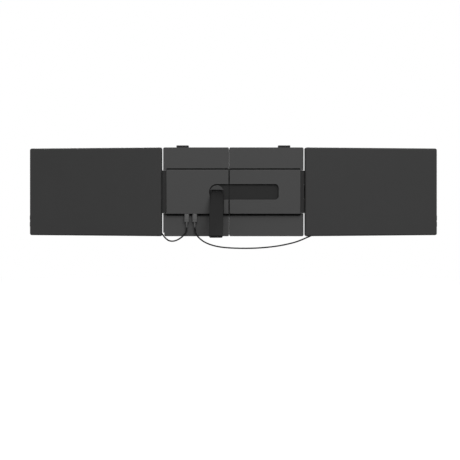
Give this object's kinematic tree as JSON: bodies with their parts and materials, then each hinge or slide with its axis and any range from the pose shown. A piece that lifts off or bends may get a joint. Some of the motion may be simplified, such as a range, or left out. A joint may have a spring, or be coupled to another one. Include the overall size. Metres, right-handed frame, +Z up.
{
  "type": "laptop screen extender",
  "caption": "Portable screen extender that clips behind a laptop lid: hinged screens on a sliding centre hub with a fold-out stand and short cables.",
  "frame": {"origin": "middle of the front face that the laptop's lid rests against, at mid-height", "axes": "+X to the right seen from behind, +Y towards the user, +Z up"},
  "size_m": [0.9774, 0.1673, 0.2426],
  "materials": {
    "back_plate": "matte grey anodised",
    "hub_cover": "matte grey",
    "black_trim": "matte black",
    "hinge_zinc": "satin black",
    "screen_cover": "fine texture, charcoal",
    "screen_bezel": "matte black",
    "screen_glass": "anti-glare, switched off",
    "backlight": "white film",
    "circuit_board": "green solder mask",
    "speaker_black": "matte black",
    "steel": "plain steel",
    "screw_steel": "black oxide",
    "silicone": "matte black",
    "cable_rubber": "matte black",
    "plug_shell": "matte mid grey",
    "stand_black": "matte black anodised",
    "hook_black": "matte black",
    "button_black": "satin black"
  },
  "bodies": {
    "left_half": {"left_back_plate": "back_plate", "left_hub_tray": "black_trim", "left_hub_cover": "hub_cover", "left_hub_screws": "screw_steel", "left_lid_pad": "silicone", "bridge_plate": "steel", "telescope_sleeve": "black_trim", "slide_bars": "steel", "circuit_board": "circuit_board", "board_screws": "screw_steel", "usb_sockets": "steel", "left_hinge_bar": "hinge_zinc", "left_cable": "cable_rubber", "left_plug": "plug_shell", "right_plug": "plug_shell", "plug_tongues": "steel", "right_cable": "cable_rubber"},
    "right_half": {"right_back_plate": "back_plate", "right_hub_tray": "black_trim", "right_hub_cover": "hub_cover", "right_hub_screws": "screw_steel", "right_lid_pad": "silicone", "rail_guides": "steel", "right_hinge_bar": "hinge_zinc", "right_cable_end": "cable_rubber"},
    "left_wing": {"left_wing_cover": "screen_cover", "left_wing_bezel": "screen_bezel", "left_display_panel": "screen_glass", "left_backlight": "backlight", "left_driver_board": "circuit_board", "left_speakers": "speaker_black", "left_hinge_leaf": "steel", "left_hinge_pin": "steel", "left_hinge_screws": "screw_steel", "left_cable_gland": "cable_rubber"},
    "right_wing": {"right_wing_cover": "screen_cover", "right_wing_bezel": "screen_bezel", "right_display_panel": "screen_glass", "right_backlight": "backlight", "right_driver_board": "circuit_board", "right_speakers": "speaker_black", "right_hinge_leaf": "steel", "right_hinge_pin": "steel", "right_hinge_screws": "screw_steel", "right_cable_gland": "cable_rubber"},
    "stand_head": {"swivel_head": "stand_black", "tilt_pin": "steel", "swivel_pin": "steel", "swivel_washer": "steel", "swivel_nut": "steel"},
    "stand_leg": {"leg": "stand_black", "foot_pad": "silicone"},
    "left_lid_hook": {"left_hook": "hook_black", "left_hook_pad": "silicone"},
    "right_lid_hook": {"right_hook": "hook_black", "right_hook_pad": "silicone"},
    "left_power_key": {"left_power_button": "button_black"},
    "left_menu_key": {"left_menu_button": "button_black"},
    "right_power_key": {"right_power_button": "button_black"},
    "right_menu_key": {"right_menu_button": "button_black"}
  },
  "joints": [
    {"name": "width_slide", "type": "slide", "parent": "left_half", "child": "right_half", "axis": [1, 0, 0], "range_m": [0, 0.03], "deforming": ["right_cable"]},
    {"name": "left_wing_hinge", "type": "hinge", "parent": "left_half", "child": "left_wing", "pos_m": [-0.162, 0.00625, 0], "axis": [0, 0, -1], "range_deg": [-9, 171], "deforming": ["left_cable"]},
    {"name": "right_wing_hinge", "type": "hinge", "parent": "right_half", "child": "right_wing", "pos_m": [0.1679, 0.00125, 0], "axis": [0, 0, 1], "range_deg": [-9, 171], "deforming": ["right_cable_end"]},
    {"name": "stand_swivel", "type": "hinge", "parent": "left_half", "child": "stand_head", "pos_m": [-0.0386, -0.0088, 0], "axis": [0, -1, 0], "range_deg": [0, 90]},
    {"name": "stand_tilt", "type": "hinge", "parent": "stand_head", "child": "stand_leg", "pos_m": [-0.0386, -0.0125, -0.003], "axis": [-1, 0, 0], "range_deg": [-46, 20]},
    {"name": "left_hook_slide", "type": "slide", "parent": "left_half", "child": "left_lid_hook", "axis": [0, 0, 1], "range_m": [0, 0.03]},
    {"name": "right_hook_slide", "type": "slide", "parent": "right_half", "child": "right_lid_hook", "axis": [0, 0, 1], "range_m": [0, 0.03]},
    {"name": "left_power_press", "type": "slide", "parent": "left_wing", "child": "left_power_key", "axis": [0.9877, -0.1564, 0], "range_m": [0, 0.0005], "stiffness_N_per_m": 500},
    {"name": "left_menu_press", "type": "slide", "parent": "left_wing", "child": "left_menu_key", "axis": [0.9877, -0.1564, 0], "range_m": [0, 0.0005], "stiffness_N_per_m": 500},
    {"name": "right_power_press", "type": "slide", "parent": "right_wing", "child": "right_power_key", "axis": [-0.9877, -0.1564, 0], "range_m": [0, 0.0005], "stiffness_N_per_m": 500},
    {"name": "right_menu_press", "type": "slide", "parent": "right_wing", "child": "right_menu_key", "axis": [-0.9877, -0.1564, 0], "range_m": [0, 0.0005], "stiffness_N_per_m": 500}
  ]
}
